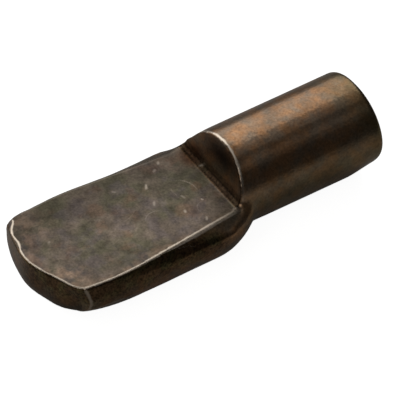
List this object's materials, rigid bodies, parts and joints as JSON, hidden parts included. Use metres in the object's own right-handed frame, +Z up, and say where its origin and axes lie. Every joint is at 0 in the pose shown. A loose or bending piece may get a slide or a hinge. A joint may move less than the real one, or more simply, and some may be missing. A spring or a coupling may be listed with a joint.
{
  "type": "shelf support pin",
  "caption": "Spoon-shaped shelf support pin: a round pin for a cabinet hole, with its other end pressed into a flat-topped blade that carries the shelf.",
  "frame": {"origin": "on the pin's axis, at the mouth of its hole: where the slightly tapered neck ends and the straight round pin starts", "axes": "+X along the pin's axis, out of its free end; +Z up, the normal of the flat that carries the shelf; +Y across the blade"},
  "size_m": [0.0238, 0.0088, 0.0065],
  "materials": {
    "antique_bronze": "antique bronze plate on steel, semi-gloss and mottled, rubbed bright along the edges"
  },
  "bodies": {
    "root": {"shelf_pin": "antique_bronze"}
  },
  "joints": []
}
